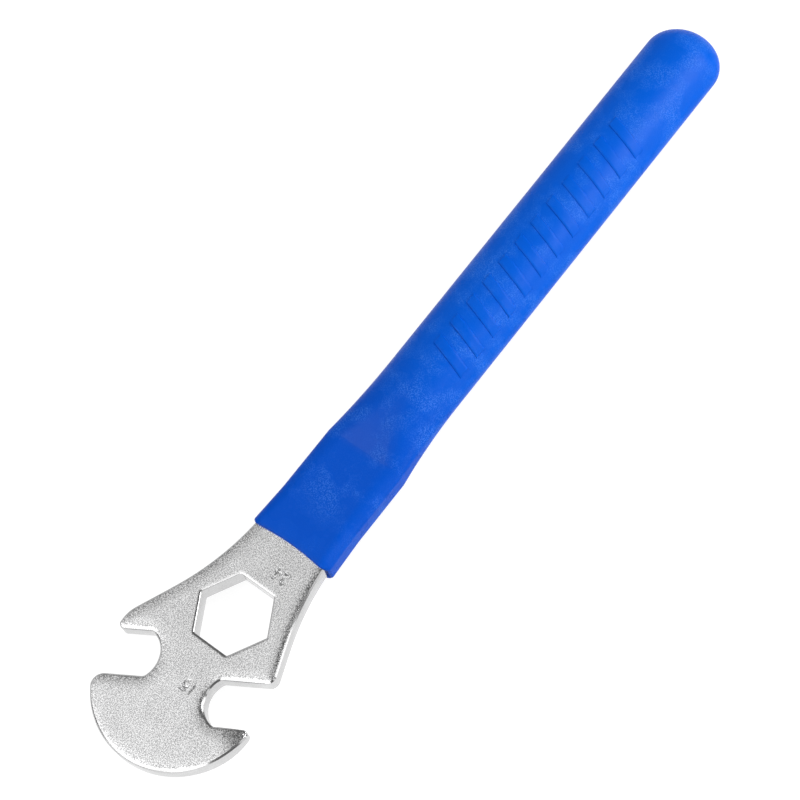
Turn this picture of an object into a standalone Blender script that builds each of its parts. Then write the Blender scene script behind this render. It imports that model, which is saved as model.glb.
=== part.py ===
"""Pedal wrench: a forged steel wrench whose shank runs into a moulded grip sleeve.

The head is a half-moon with two opposed open jaws, one on each side, and the neck
carries a hexagon hole. Everything is drawn in the wrench's own plane first: the
hexagon's centre is at (0, 0), +X runs along the handle to the cap, and the beak
side is +Y. Both pieces are symmetrical about the mid-plane of the steel.
"""
from math import acos, atan2, ceil, cos, degrees, pi, radians, sin, sqrt, tan

import bmesh
import bpy
from mathutils import Vector

# Steel section
STEEL_THICKNESS = 0.0070
FORGED_EDGE = 0.0013  # rounding along every outer edge of the forging
CLEARANCE = 0.0003  # between the shank and the sleeve's cavity, all round

# Hexagon hole, two of its flats square to the handle
HEX_ACROSS_FLATS = 0.0240
HEX_CORNER = 0.0006  # radius in each corner
HEX_CHAMFER = 0.0005  # at both faces

# Open jaws. "Across" is measured square to the jaw faces and "along" runs out of
# the far jaw, both from the hexagon's centre.
JAW_OPENING = 0.0150
JAW_LEAN = 30.0  # degrees that the jaws lean from square to the handle
BEAK_JAW_ACROSS = -0.0150
BEAK_JAW_FLOOR = -0.0221
FAR_JAW_ACROSS = -0.02935
FAR_JAW_FLOOR = -0.00455
THROAT_DEPTH = 0.0040  # how far the throat's arc goes past the flat faces
THROAT_CORNER = 0.0015

# Half-moon
RIM_RADIUS = 0.0292
RIM_CENTRE_X = -0.0275
RIM_CENTRE_Y = 0.0003
HEEL_RADIUS = 0.0043  # where the rim meets the beak jaw
TIP_RADIUS = 0.0017  # where the rim meets the far jaw

# Neck: straight flanks that bend to the sleeve's mouth. The widths are taken on the
# flanks' own lines, square to the handle at the hexagon's centre.
BEAK_SIDE_WIDTH = 0.0209
FAR_SIDE_WIDTH = 0.0213
BEAK_FLANK_ANGLE = 25.1
FAR_FLANK_ANGLE = 21.5
BEAK_NECK_BEND = 0.090
FAR_NECK_BEND = 0.097
FAR_CORNER_RADIUS = 0.0031

# Beak: its flank curves down to a narrow tip over the jaw
BEAK_REACH = 0.0372  # from the hexagon's centre to the tip, along the jaw
BEAK_NOSE_RADIUS = 0.0120
BEAK_TIP_RADIUS = 0.0017

# Shank, hidden in the sleeve
NECK_WIDTH = 0.0288  # at the sleeve's mouth
COLLAR_SHANK_WIDTH = 0.0270
SHANK_WIDTH = 0.0220
SHANK_END_RADIUS = 0.006
SHANK_BLEND = 0.040
SHANK_STOP = 0.0020  # the shank ends this far before the dome starts

# Sleeve, from the mouth to the cap
MOUTH_FROM_HEX = 0.0286
SLEEVE_LENGTH = 0.2210
FLARE_LENGTH = 0.0145
COLLAR_LENGTH = 0.0380
RAMP_LENGTH = 0.0310
DOME_LENGTH = 0.0115
SLEEVE_WALL = 0.00125  # round the flat collar
COLLAR_CORNER = 0.0020
BARREL_SIDE_WALL = 0.00245
BARREL_CROWN_WALL = 0.0057
MOUTH_BOW = 0.0012  # the mouth's edge stands further out at its two sides
MOUTH_LIP = 0.0005  # rounding of the mouth's outer edge

# Fineness of the meshes
ARC_STEP = 8.0  # degrees per facet on outline arcs
LONG_ARC_STEP = 4.0  # the same on the rim and the neck's bends
EDGE_STEPS = 3
SECTION_STEPS = 8  # facets per quarter of a sleeve section
RAMP_STEPS = 9
DOME_STEPS = 7
CAP_FLAT = 4.0  # degrees of the dome that its flat tip takes
MINIMUM_FLAT = 0.0001  # half of the flat left on an oval section
RAMP_CROWDING = 1.5  # above 1, the ramp's rings crowd towards the collar
SMOOTH_ANGLE = 40.0  # edges sharper than this stay sharp when shaded

# How far a rounding may take up the sides it lies between
FILLET_SHARE = 0.98
EDGE_SHARE_OF_THICKNESS = 0.45
EDGE_SHARE_OF_TIP = 0.8

# Places along the handle, worked out from the lengths
FLARE_END = MOUTH_FROM_HEX + FLARE_LENGTH
COLLAR_END = MOUTH_FROM_HEX + COLLAR_LENGTH
RAMP_END = COLLAR_END + RAMP_LENGTH
CAP_END = MOUTH_FROM_HEX + SLEEVE_LENGTH
DOME_START = CAP_END - DOME_LENGTH
SHANK_END = DOME_START - SHANK_STOP

ACROSS = Vector((cos(radians(JAW_LEAN)), sin(radians(JAW_LEAN))))
ALONG = Vector((sin(radians(JAW_LEAN)), -cos(radians(JAW_LEAN))))


def in_jaw(across, along):
    """A point of the wrench's plane, from its place in jaw directions."""
    return ACROSS * across + ALONG * along


def arc(centre, start, end, turn, step=ARC_STEP):
    """Points from start to end round centre: turn is 1 anticlockwise, -1 clockwise."""
    first = atan2(start.y - centre.y, start.x - centre.x)
    swept = atan2(end.y - centre.y, end.x - centre.x) - first
    if swept * turn < 0:
        swept += 2 * pi * turn
    radius = (start - centre).length
    count = max(2, ceil(abs(degrees(swept)) / step))
    angles = [first + swept * i / count for i in range(count + 1)]
    return [centre + Vector((cos(a), sin(a))) * radius for a in angles]


def crossing(point, direction, other, other_direction):
    """Where two lines of the plane meet."""
    gap = other - point
    scale = direction.cross(other_direction)
    return point + direction * (gap.cross(other_direction) / scale)


def fillet(before, corner, after, radius, step=ARC_STEP):
    """Arc points that round the corner of a polyline, kept inside its shorter side."""
    back = (before - corner).normalized()
    on = (after - corner).normalized()
    half = acos(max(-1.0, min(1.0, back.dot(on)))) / 2
    room = FILLET_SHARE * min((before - corner).length, (after - corner).length)
    radius = min(radius, room * tan(half))
    reach = radius / tan(half)
    centre = corner + (back + on).normalized() * radius / sin(half)
    turn = -1 if back.cross(on) > 0 else 1
    return arc(centre, corner + back * reach, corner + on * reach, turn, step)


def jaw_slot(across, floor, opens):
    """The outline round one open jaw, from its first flat face round to its second.

    opens is -1 for a jaw that opens against ALONG, and 1 for one that opens with it.
    """
    half = JAW_OPENING / 2
    throat = (half**2 + THROAT_DEPTH**2) / (2 * THROAT_DEPTH)
    centre = in_jaw(across, floor + opens * throat)
    run = throat - sqrt((throat - THROAT_CORNER) ** 2 - (half - THROAT_CORNER) ** 2)
    points = []
    met = None
    for side in (-opens, opens):
        corner = in_jaw(across + side * (half - THROAT_CORNER), floor + opens * run)
        on_face = in_jaw(across + side * half, floor + opens * run)
        on_throat = centre + (corner - centre).normalized() * throat
        if met is None:
            points += arc(corner, on_face, on_throat, -1, 2 * ARC_STEP)
        else:
            points += arc(centre, met, on_throat, -1)[1:-1]
            points += arc(corner, on_throat, on_face, -1, 2 * ARC_STEP)
        met = on_throat
    return points


def rim_corner(face_across, radius, side):
    """Centre and two touch points of the round between a jaw face and the rim."""
    rim = Vector((RIM_CENTRE_X, RIM_CENTRE_Y))
    across = face_across - radius
    reach = sqrt((RIM_RADIUS - radius) ** 2 - (across - rim.dot(ACROSS)) ** 2)
    along = rim.dot(ALONG) + side * reach
    centre = in_jaw(across, along)
    on_rim = rim + (centre - rim).normalized() * RIM_RADIUS
    return centre, in_jaw(face_across, along), on_rim


def half_moon():
    """From the beak jaw's lower face round the rim to the far jaw's lower face."""
    rim = Vector((RIM_CENTRE_X, RIM_CENTRE_Y))
    half = JAW_OPENING / 2
    heel, heel_face, heel_rim = rim_corner(BEAK_JAW_ACROSS - half, HEEL_RADIUS, -1)
    tip, tip_face, tip_rim = rim_corner(FAR_JAW_ACROSS - half, TIP_RADIUS, 1)
    points = arc(heel, heel_face, heel_rim, 1)
    points += arc(rim, heel_rim, tip_rim, 1, LONG_ARC_STEP)[1:-1]
    points += arc(tip, tip_rim, tip_face, 1)
    return points


def flank_line(side, width, angle):
    """A point and the direction of one flank; side is 1 for the beak, -1 for the far one."""
    slope = radians(angle)
    return Vector((0.0, side * width)), Vector((-cos(slope), side * sin(slope)))


def beak_nose(on_flank, flank):
    """From the beak jaw's upper face round the tip and the nose to the flank.

    The nose is an arc that touches the flank's line and the tip's circle, so its centre
    is one nose radius inside the flank and the difference of the radii from the tip's.
    The tip stays short of the place where its circle would touch the flank itself.
    """
    face_across = BEAK_JAW_ACROSS + JAW_OPENING / 2
    tip_across = face_across + BEAK_TIP_RADIUS
    inwards = Vector((-flank.y, flank.x))
    touching = crossing(
        on_flank + inwards * BEAK_TIP_RADIUS, flank, in_jaw(tip_across, 0.0), ALONG
    )
    along = max(BEAK_TIP_RADIUS - BEAK_REACH, FILLET_SHARE * touching.dot(ALONG))
    tip = in_jaw(tip_across, along)
    gap = tip - on_flank - inwards * BEAK_NOSE_RADIUS
    reach = sqrt((BEAK_NOSE_RADIUS - BEAK_TIP_RADIUS) ** 2 - gap.dot(inwards) ** 2)
    start = on_flank + flank * (gap.dot(flank) - reach)
    nose = start + inwards * BEAK_NOSE_RADIUS
    met = tip + (tip - nose).normalized() * BEAK_TIP_RADIUS
    points = arc(tip, in_jaw(face_across, along), met, -1)
    return points + arc(nose, met, start, -1, LONG_ARC_STEP)[1:]


def far_corner(on_flank, flank):
    """The round between the far jaw's upper face and the flank."""
    face_across = FAR_JAW_ACROSS + JAW_OPENING / 2
    corner = crossing(on_flank, flank, in_jaw(face_across, 0.0), ALONG)
    return fillet(in_jaw(face_across, FAR_JAW_FLOOR), corner, on_flank, FAR_CORNER_RADIUS)


def neck_side(side, start, on_flank, flank, neck_bend):
    """One side of the neck, from start on its flank to the shank's end."""
    mouth = Vector((MOUTH_FROM_HEX, side * NECK_WIDTH / 2))
    waist = Vector((FLARE_END, side * COLLAR_SHANK_WIDTH / 2))
    bend = crossing(on_flank, flank, mouth, waist - mouth)
    shoulder = Vector((COLLAR_END, side * COLLAR_SHANK_WIDTH / 2))
    shank = Vector((RAMP_END, side * SHANK_WIDTH / 2))
    end = Vector((SHANK_END, side * SHANK_WIDTH / 2))
    axis_end = Vector((SHANK_END, 0.0))
    points = fillet(start, bend, waist, neck_bend, LONG_ARC_STEP)
    points += fillet(bend, waist, shoulder, SHANK_BLEND)
    points += fillet(waist, shoulder, shank, SHANK_BLEND)
    points += fillet(shoulder, shank, end, SHANK_BLEND)
    points += fillet(shank, end, axis_end, SHANK_END_RADIUS, 2 * ARC_STEP)
    return points


def wrench_outline():
    """The whole forging seen from above, anticlockwise."""
    beak_flank = flank_line(1, BEAK_SIDE_WIDTH, BEAK_FLANK_ANGLE)
    far_flank = flank_line(-1, FAR_SIDE_WIDTH, FAR_FLANK_ANGLE)
    nose = beak_nose(*beak_flank)
    corner = far_corner(*far_flank)
    points = (nose + neck_side(1, nose[-1], *beak_flank, BEAK_NECK_BEND))[::-1]
    points += jaw_slot(BEAK_JAW_ACROSS, BEAK_JAW_FLOOR, -1)
    points += half_moon()
    points += jaw_slot(FAR_JAW_ACROSS, FAR_JAW_FLOOR, 1)
    points += corner + neck_side(-1, corner[-1], *far_flank, FAR_NECK_BEND)
    return points


def inset(outline, distance):
    """The outline moved inwards along its corners' own bisectors."""
    moved = []
    for i, point in enumerate(outline):
        into = (point - outline[i - 1]).normalized()
        out = (outline[(i + 1) % len(outline)] - point).normalized()
        bisector = Vector((-into.y - out.y, into.x + out.x)).normalized()
        square = bisector.dot(Vector((-into.y, into.x)))
        moved.append(point + bisector * distance / square)
    return moved


def add_ring(mesh, points, height):
    return [mesh.verts.new((p.x, p.y, height)) for p in points]


def skin(mesh, rings):
    """Quads between rings of equal count, each ring closed on itself."""
    for lower, upper in zip(rings, rings[1:]):
        for i in range(len(lower)):
            j = (i + 1) % len(lower)
            mesh.faces.new((lower[i], lower[j], upper[j], upper[i]))


def closed_stack(rings_of_points):
    """A closed solid from stacked outlines, given as (points, height) from the bottom."""
    mesh = bmesh.new()
    rings = [add_ring(mesh, points, height) for points, height in rings_of_points]
    skin(mesh, rings)
    mesh.faces.new(rings[0][::-1])
    mesh.faces.new(rings[-1])
    return mesh


def forging(outline, thickness, edge):
    """A plate with this outline whose upper and lower edges are rounded."""
    quarter = [pi / 2 * i / EDGE_STEPS for i in range(EDGE_STEPS + 1)]
    sides = [(edge * (1 - cos(a)), thickness / 2 - edge * (1 - sin(a))) for a in quarter]
    levels = [(depth, -height) for depth, height in sides[::-1]] + sides
    return closed_stack([(inset(outline, depth), height) for depth, height in levels])


def forged_edge():
    """The edge rounding, held inside the plate and the sharpest tip."""
    thickness_limit = EDGE_SHARE_OF_THICKNESS * STEEL_THICKNESS
    tip_limit = EDGE_SHARE_OF_TIP * min(TIP_RADIUS, BEAK_TIP_RADIUS)
    return min(FORGED_EDGE, thickness_limit, tip_limit)


def hexagon(across_flats, corner):
    """A hexagon with rounded corners and two flats square to X."""
    reach = across_flats / sqrt(3)
    tips = [Vector((cos(a), sin(a))) * reach for a in (radians(30 + 60 * i) for i in range(6))]
    points = []
    for i, tip in enumerate(tips):
        points += fillet(tips[i - 1], tip, tips[(i + 1) % 6], corner, 3 * ARC_STEP)
    return points


def hexagon_cutter():
    """The hexagon hole with a chamfer that opens at both faces of the steel.

    The cutter's cones start one chamfer inside each face and end one outside it, so
    each flat moves out by two chamfers on the way.
    """
    straight = STEEL_THICKNESS / 2 - HEX_CHAMFER
    past = STEEL_THICKNESS / 2 + HEX_CHAMFER
    hole = hexagon(HEX_ACROSS_FLATS, HEX_CORNER)
    flared = hexagon(HEX_ACROSS_FLATS + 2 * (2 * HEX_CHAMFER), HEX_CORNER)
    return closed_stack([(flared, -past), (hole, -straight), (hole, straight), (flared, past)])


def blend(start, end, share):
    return start + (end - start) * share


def share_of(x, start, end):
    """How far x is from start to end, from 0 to 1."""
    return max(0.0, min(1.0, (x - start) / (end - start)))


def sleeve_size(x):
    """Half width, half thickness and the corner's two radii of the sleeve at x."""
    round_shank = CLEARANCE + SLEEVE_WALL
    collar_thick = STEEL_THICKNESS / 2 + round_shank
    flare = share_of(x, MOUTH_FROM_HEX, FLARE_END)
    collar_wide = blend(NECK_WIDTH, COLLAR_SHANK_WIDTH, flare) / 2 + round_shank
    barrel_wide = SHANK_WIDTH / 2 + CLEARANCE + BARREL_SIDE_WALL
    barrel_thick = STEEL_THICKNESS / 2 + CLEARANCE + BARREL_CROWN_WALL
    eased = 1 - (1 - share_of(x, COLLAR_END, RAMP_END)) ** 2
    wide = blend(collar_wide, barrel_wide, eased)
    thick = blend(collar_thick, barrel_thick, eased)
    corner_wide = blend(COLLAR_CORNER, barrel_wide - MINIMUM_FLAT, eased)
    corner_thick = blend(COLLAR_CORNER, barrel_thick - MINIMUM_FLAT, eased)
    shrink = sqrt(1 - share_of(x, DOME_START, CAP_END) ** 2)
    return [size * shrink for size in (wide, thick, corner_wide, corner_thick)]


def sleeve_section(mesh, x, lip=0.0, bow=0.0):
    """One ring of the sleeve: a rectangle with elliptical corners, facing +X."""
    wide, thick, corner_wide, corner_thick = sleeve_size(x)
    ring = []
    for quarter in range(4):
        centre_y = (wide - corner_wide) * (1 if quarter in (0, 3) else -1)
        centre_z = (thick - corner_thick) * (1 if quarter < 2 else -1)
        for i in range(SECTION_STEPS + 1):
            a = pi / 2 * (quarter + i / SECTION_STEPS)
            y = centre_y + (corner_wide - lip) * cos(a)
            z = centre_z + (corner_thick - lip) * sin(a)
            ring.append(mesh.verts.new((x - bow * (y / wide) ** 2, y, z)))
    return ring


def sleeve_places():
    """Where the sleeve's rings stand, closer together on the ramp and the dome."""
    shares = [(i / RAMP_STEPS) ** RAMP_CROWDING for i in range(RAMP_STEPS + 1)]
    ramp = [blend(COLLAR_END, RAMP_END, share) for share in shares]
    turns = [pi / 2 * i / DOME_STEPS for i in range(DOME_STEPS)]
    dome = [DOME_START + DOME_LENGTH * sin(a) for a in turns + [radians(90 - CAP_FLAT)]]
    collar = [(MOUTH_FROM_HEX + FLARE_END) / 2, FLARE_END]
    barrel = [(RAMP_END + DOME_START) / 2]
    return collar + ramp + barrel + dome


def bowed_cap(mesh, ring):
    """Close the mouth with strips from its upper half to its lower half."""
    last = len(ring) - 1
    for i in range(len(ring) // 2 - 1):
        mesh.faces.new((ring[i], ring[i + 1], ring[last - 1 - i], ring[last - i]))


def sleeve_skin():
    """The sleeve's outside as a closed solid, before its cavity is cut."""
    mesh = bmesh.new()
    mouth = sleeve_section(mesh, MOUTH_FROM_HEX, lip=MOUTH_LIP, bow=MOUTH_BOW)
    lip = sleeve_section(mesh, MOUTH_FROM_HEX + MOUTH_LIP, bow=MOUTH_BOW)
    rings = [mouth, lip] + [sleeve_section(mesh, x) for x in sleeve_places()]
    skin(mesh, rings)
    bowed_cap(mesh, mouth)
    mesh.faces.new(rings[-1])
    return mesh


def finish(name, colour, roughness, metallic):
    """A plain painted or plated surface."""
    material = bpy.data.materials.new(name)
    material.use_nodes = True
    shader = material.node_tree.nodes["Principled BSDF"]
    shader.inputs["Base Color"].default_value = (*colour, 1.0)
    shader.inputs["Roughness"].default_value = roughness
    shader.inputs["Metallic"].default_value = metallic
    material.diffuse_color = (*colour, 1.0)
    return material


def add_object(name, solid, material=None):
    """An object made from a bmesh, with its faces turned outwards."""
    bmesh.ops.recalc_face_normals(solid, faces=solid.faces)
    data = bpy.data.meshes.new(name)
    solid.to_mesh(data)
    solid.free()
    item = bpy.data.objects.new(name, data)
    bpy.context.scene.collection.objects.link(item)
    if material:
        data.materials.append(material)
        data.shade_smooth()
        data.set_sharp_from_angle(angle=radians(SMOOTH_ANGLE))
    return item


def cut(item, tool):
    """Subtract tool from item, and keep tool as a hidden guide."""
    modifier = item.modifiers.new(tool.name, "BOOLEAN")
    modifier.operation = "DIFFERENCE"
    modifier.solver = "EXACT"
    modifier.object = tool
    tool.hide_render = True
    tool.display_type = "WIRE"


def set_down(items, guides):
    """Put the origin under the middle of the whole, on the surface it lies on."""
    corners = [v.co for item in items for v in item.data.vertices]
    low = [min(c[k] for c in corners) for k in range(3)]
    high = [max(c[k] for c in corners) for k in range(3)]
    shift = Vector((-(low[0] + high[0]) / 2, -(low[1] + high[1]) / 2, -low[2]))
    for item in items + guides:
        item.location = shift


def build():
    for item in list(bpy.data.objects):
        bpy.data.objects.remove(item, do_unlink=True)
    steel = finish("blasted_plated_steel", (0.66, 0.66, 0.66), 0.38, 1.0)
    vinyl = finish("blue_soft_vinyl", (0.004, 0.095, 0.56), 0.48, 0.0)
    outline = wrench_outline()
    edge = forged_edge()
    plate = forging(outline, STEEL_THICKNESS, edge)
    wrench = add_object("forged_wrench", plate, steel)
    hex_tool = add_object("hexagon_cutter", hexagon_cutter())
    cut(wrench, hex_tool)
    sleeve = add_object("grip_sleeve", sleeve_skin(), vinyl)
    room = inset(outline, -CLEARANCE)
    cavity = forging(room, STEEL_THICKNESS + 2 * CLEARANCE, edge + CLEARANCE)
    cavity_tool = add_object("cavity_cutter", cavity)
    cut(sleeve, cavity_tool)
    set_down([wrench, sleeve], [hex_tool, cavity_tool])


build()
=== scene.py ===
# %% [markdown]
# # A pedal wrench on a white table
#
# The object is one flat steel forging with a soft blue sleeve moulded round its
# handle. The CAD model gives the sizes; this script gives the looks. It first loads
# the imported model, then sets up camera, table and lamps, then makes a fine skin for
# the steel and another for the sleeve, and gives each a procedural finish.

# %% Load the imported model
from math import cos, degrees, pi, radians, sin, sqrt

import bmesh
import bpy
import numpy as np
from mathutils import Matrix, Vector, geometry


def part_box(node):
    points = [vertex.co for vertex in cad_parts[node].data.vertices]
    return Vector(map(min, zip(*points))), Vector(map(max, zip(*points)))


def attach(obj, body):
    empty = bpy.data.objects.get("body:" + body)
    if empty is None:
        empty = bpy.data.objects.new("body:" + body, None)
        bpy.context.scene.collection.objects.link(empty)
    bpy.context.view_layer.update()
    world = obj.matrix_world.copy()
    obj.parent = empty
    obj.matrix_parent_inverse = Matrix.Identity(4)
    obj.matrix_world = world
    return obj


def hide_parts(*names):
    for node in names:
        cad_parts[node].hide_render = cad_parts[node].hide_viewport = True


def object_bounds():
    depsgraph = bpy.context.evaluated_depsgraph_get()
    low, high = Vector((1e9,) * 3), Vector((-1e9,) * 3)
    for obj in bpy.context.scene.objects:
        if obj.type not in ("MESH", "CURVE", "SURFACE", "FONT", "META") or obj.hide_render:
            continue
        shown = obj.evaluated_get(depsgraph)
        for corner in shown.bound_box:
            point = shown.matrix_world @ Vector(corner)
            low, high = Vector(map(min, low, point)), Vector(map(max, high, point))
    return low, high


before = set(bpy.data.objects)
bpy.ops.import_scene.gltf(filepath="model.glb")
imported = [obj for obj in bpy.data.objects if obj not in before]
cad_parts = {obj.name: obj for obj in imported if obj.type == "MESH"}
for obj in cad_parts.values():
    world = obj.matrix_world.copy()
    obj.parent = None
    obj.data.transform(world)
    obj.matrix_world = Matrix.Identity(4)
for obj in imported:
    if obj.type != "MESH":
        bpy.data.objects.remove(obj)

MM = 0.001
cad_box = [list(corner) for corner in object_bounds()]
print("nodes:", sorted(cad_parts), "box:", cad_box)

# %% [markdown]
# ## Where things are
#
# The drawing of a wrench starts from the centre of its hexagon hole, so the places
# below are counted from there, along the handle (X) and across it (Y). The hexagon's
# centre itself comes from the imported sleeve: its cap ends a known length from it, and
# its middle line runs through it.

# %% The drawing's origin
STEEL_THICKNESS = 7.0 * MM
MOUTH_FROM_HEX = 28.6 * MM
SLEEVE_LENGTH = 221.0 * MM
steel_low, steel_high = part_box("forged_wrench")
sleeve_low, sleeve_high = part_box("grip_sleeve")
HEX = Vector((
    sleeve_high.x - MOUTH_FROM_HEX - SLEEVE_LENGTH,
    (sleeve_low.y + sleeve_high.y) / 2,
    (sleeve_low.z + sleeve_high.z) / 2,
))
print("hexagon centre, mm:", [round(c / MM, 3) for c in HEX])

# %% [markdown]
# ## The camera
#
# The wrench was photographed from well above, with a long lens turned in the hand so
# that the handle runs up to the right. A camera's matrix holds this directly: its
# columns are the directions to the right, up and back out of the picture.

# %% Camera
PICTURE_RIGHT = Vector((0.6118002, -0.76595045, -0.19753588))
PICTURE_UP = Vector((0.76274025, 0.50507421, 0.40389027))
TO_CAMERA = Vector((-0.20958965, -0.39776872, 0.89322574))
CAMERA_FROM_HEX = Vector((-100.12, -354.73, 803.40)) * MM
FOCAL_LENGTH_MM = 125.04
SENSOR_WIDTH_MM = 36.0

lens = bpy.data.cameras.new("long_lens")
lens.lens = FOCAL_LENGTH_MM
lens.sensor_width = SENSOR_WIDTH_MM
camera = bpy.data.objects.new("camera", lens)
turn = Matrix((PICTURE_RIGHT, PICTURE_UP, TO_CAMERA)).transposed().to_4x4()
camera.matrix_world = Matrix.Translation(HEX + CAMERA_FROM_HEX) @ turn
bpy.context.scene.collection.objects.link(camera)
bpy.context.scene.camera = camera
print("camera at, mm:", [round(c / MM) for c in camera.matrix_world.translation])

# %% [markdown]
# ## Writing shader maths as sums
#
# A node tree is a long way to write a formula. `Signal` is one output socket that
# knows how to be added, subtracted and multiplied, so the finishes further down are
# ordinary Python sums, and each sum adds one Math node. The reflected forms let a plain
# number come first, as in 1 - mask. A node group could hold the same formula, but a
# sum is easier to read and to change.

# %% Signal
class Signal:
    """An output socket that can stand in sums."""

    def __init__(self, finish, socket):
        self.finish, self.socket = finish, socket

    def maths(self, operation, *values):
        return self.finish.node("ShaderNodeMath", {"operation": operation}, dict(enumerate(values)))

    def __add__(self, other):
        return self.maths("ADD", self, other)

    def __sub__(self, other):
        return self.maths("SUBTRACT", self, other)

    def __rsub__(self, other):
        return self.maths("SUBTRACT", other, self)

    def __mul__(self, other):
        return self.maths("MULTIPLY", self, other)

    __radd__ = __add__
    __rmul__ = __mul__


print("a signal can be added, subtracted and multiplied")

# %% [markdown]
# ## Making nodes
#
# `Finish` is a material, or the world, that starts with an empty node tree. Its `node`
# method makes any node from its type, its settings and what goes into its sockets, and
# hands back one output as a `Signal`. Three short methods stand for the nodes that
# come up again and again: a mix of two colours, a soft step and soft noise.

# %% Finish
class Finish:
    """A material or world whose nodes are made one call at a time."""

    def __init__(self, owner):
        self.owner = owner
        owner.use_nodes = True
        self.tree = owner.node_tree
        self.tree.nodes.clear()

    def node(self, kind, settings=None, inputs=None, output=0):
        """Make a node: its settings first, then its inputs, and return one output."""
        made = self.tree.nodes.new(kind)
        for name, value in (settings or {}).items():
            setattr(made, name, value)
        for name, value in (inputs or {}).items():
            socket = made.inputs[name]
            if isinstance(value, Signal):
                self.tree.links.new(value.socket, socket)
            else:
                socket.default_value = value
        return Signal(self, made.outputs[output]) if made.outputs else None

    def mix(self, share, first, second):
        """A colour between two colours."""
        settings = {"data_type": "RGBA", "clamp_factor": True}
        return self.node("ShaderNodeMix", settings, {0: share, 6: first, 7: second}, 2)

    def smooth(self, value, low, high, start=0.0, end=1.0):
        """A soft step from start to end as value goes from low to high."""
        settings = {"interpolation_type": "SMOOTHSTEP"}
        inputs = {0: value, 1: low, 2: high, 3: start, 4: end}
        return self.node("ShaderNodeMapRange", settings, inputs)

    def noise(self, place, size, detail):
        """Soft noise with blobs of about this size, in metres."""
        inputs = {"Vector": place, "Scale": 1 / size, "Detail": detail}
        return self.node("ShaderNodeTexNoise", None, inputs)


def new_finish(name):
    return Finish(bpy.data.materials.new(name))


print("shader helpers ready")

# %% [markdown]
# ## The white table
#
# The photograph is on plain white, so the table is a large pale sheet. White here
# comes from the sheet's own colour as the camera and the reflections see it: Light
# Path tells those rays from the ones that light the object. A share of ordinary
# diffuse white stays in it, and that share holds the wrench's soft shadow.

# %% Table
TABLE_SIZE = 2.6
GLOW = 0.86
PALE, FAINT, WHITE = (0.8, 0.8, 0.8, 1), (0.3, 0.3, 0.3, 1), (1, 1, 1, 1)
TABLE_GAP = 0.1 * MM

sheet = bmesh.new()
bmesh.ops.create_grid(sheet, x_segments=1, y_segments=1, size=TABLE_SIZE / 2)
table_mesh = bpy.data.meshes.new("table")
sheet.to_mesh(table_mesh)
sheet.free()
table = bpy.data.objects.new("table", table_mesh)
table.location.z = cad_box[0][2] - TABLE_GAP
bpy.context.scene.collection.objects.link(table)

paper = new_finish("white_paper")
path = paper.node("ShaderNodeLightPath")
rays = path.socket.node.outputs
seen = Signal(paper, rays["Is Camera Ray"]) + Signal(paper, rays["Is Glossy Ray"])
seen = seen + Signal(paper, rays["Is Transmission Ray"])
matt = paper.node("ShaderNodeBsdfDiffuse", None, {"Color": PALE})
faint = paper.node("ShaderNodeBsdfDiffuse", None, {"Color": FAINT})
light = paper.node("ShaderNodeEmission", None, {"Color": WHITE, "Strength": GLOW})
bright = paper.node("ShaderNodeAddShader", None, {0: light, 1: faint})
shown = paper.node("ShaderNodeMixShader", None, {0: seen, 1: matt, 2: bright})
paper.node("ShaderNodeOutputMaterial", None, {"Surface": shown})
table_mesh.materials.append(paper.owner)
print("table", TABLE_SIZE, "m wide, top at", round(table.location.z / MM, 2), "mm")

# %% [markdown]
# ## Soft lamps
#
# Two softboxes and a fill light the wrench: a wide one on the head's side, a smaller
# one over the front and the fill low in front of the sleeve. Satin steel also shows its
# surroundings, so the rest are cards, as in a studio. A card lights nothing and shows
# only in reflections. The cards give the pale faces and the white rounding at the
# lower left, and the gaps between them the grey and black lines along other edges.

# %% Lamps and world
def softbox(name, direction, distance, width, height, radiance):
    """An area lamp that faces the wrench, given by how bright its face is."""
    lamp = bpy.data.lights.new(name, "AREA")
    lamp.shape = "RECTANGLE"
    lamp.size, lamp.size_y = width, height
    lamp.energy = radiance * pi * width * height
    item = bpy.data.objects.new(name, lamp)
    away = Vector(direction).normalized()
    item.location = away * distance
    item.rotation_euler = away.to_track_quat("Z", "Y").to_euler()
    bpy.context.scene.collection.objects.link(item)
    return item


def card(name, direction, distance, width, height, radiance):
    """A white card that only shows in reflections and lights nothing."""
    item = softbox(name, direction, distance, width, height, radiance)
    item.visible_diffuse = False
    return item


softbox("left_softbox", (-0.44, 0.26, 0.84), 1.6, 2.0, 2.0, 1.25)
softbox("front_softbox", (0.54, -0.36, 0.65), 0.75, 0.31, 0.31, 7.5)
card("left_card", (-1.0, 0.05, 0.62), 1.45, 2.0, 1.4, 1.55)
card("corner_card", (-0.85, -0.53, 0.26), 1.4, 0.8, 0.7, 1.75)
card("front_left_card", (-0.36, -0.54, 0.78), 1.3, 0.7, 0.5, 1.5)
card("back_card", (0.15, 0.95, 0.42), 1.7, 2.6, 1.5, 0.48)
card("low_strip", (0.72, -0.68, 0.17), 1.6, 1.1, 0.5, 1.9)
card("front_card", (0.16, -1.0, 0.24), 1.5, 0.5, 0.6, 0.9)
fill = softbox("front_fill", (0.45, -0.85, 0.30), 1.1, 0.85, 0.85, 3.6)
fill.visible_glossy = False
crown_card = card("crown_card", (0.54, -0.36, 0.65), 0.75, 0.5, 0.5, 5.0)
ramp_card = card("ramp_card", (-0.30, 0.40, 0.87), 1.4, 0.45, 0.45, 5.0)

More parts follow.
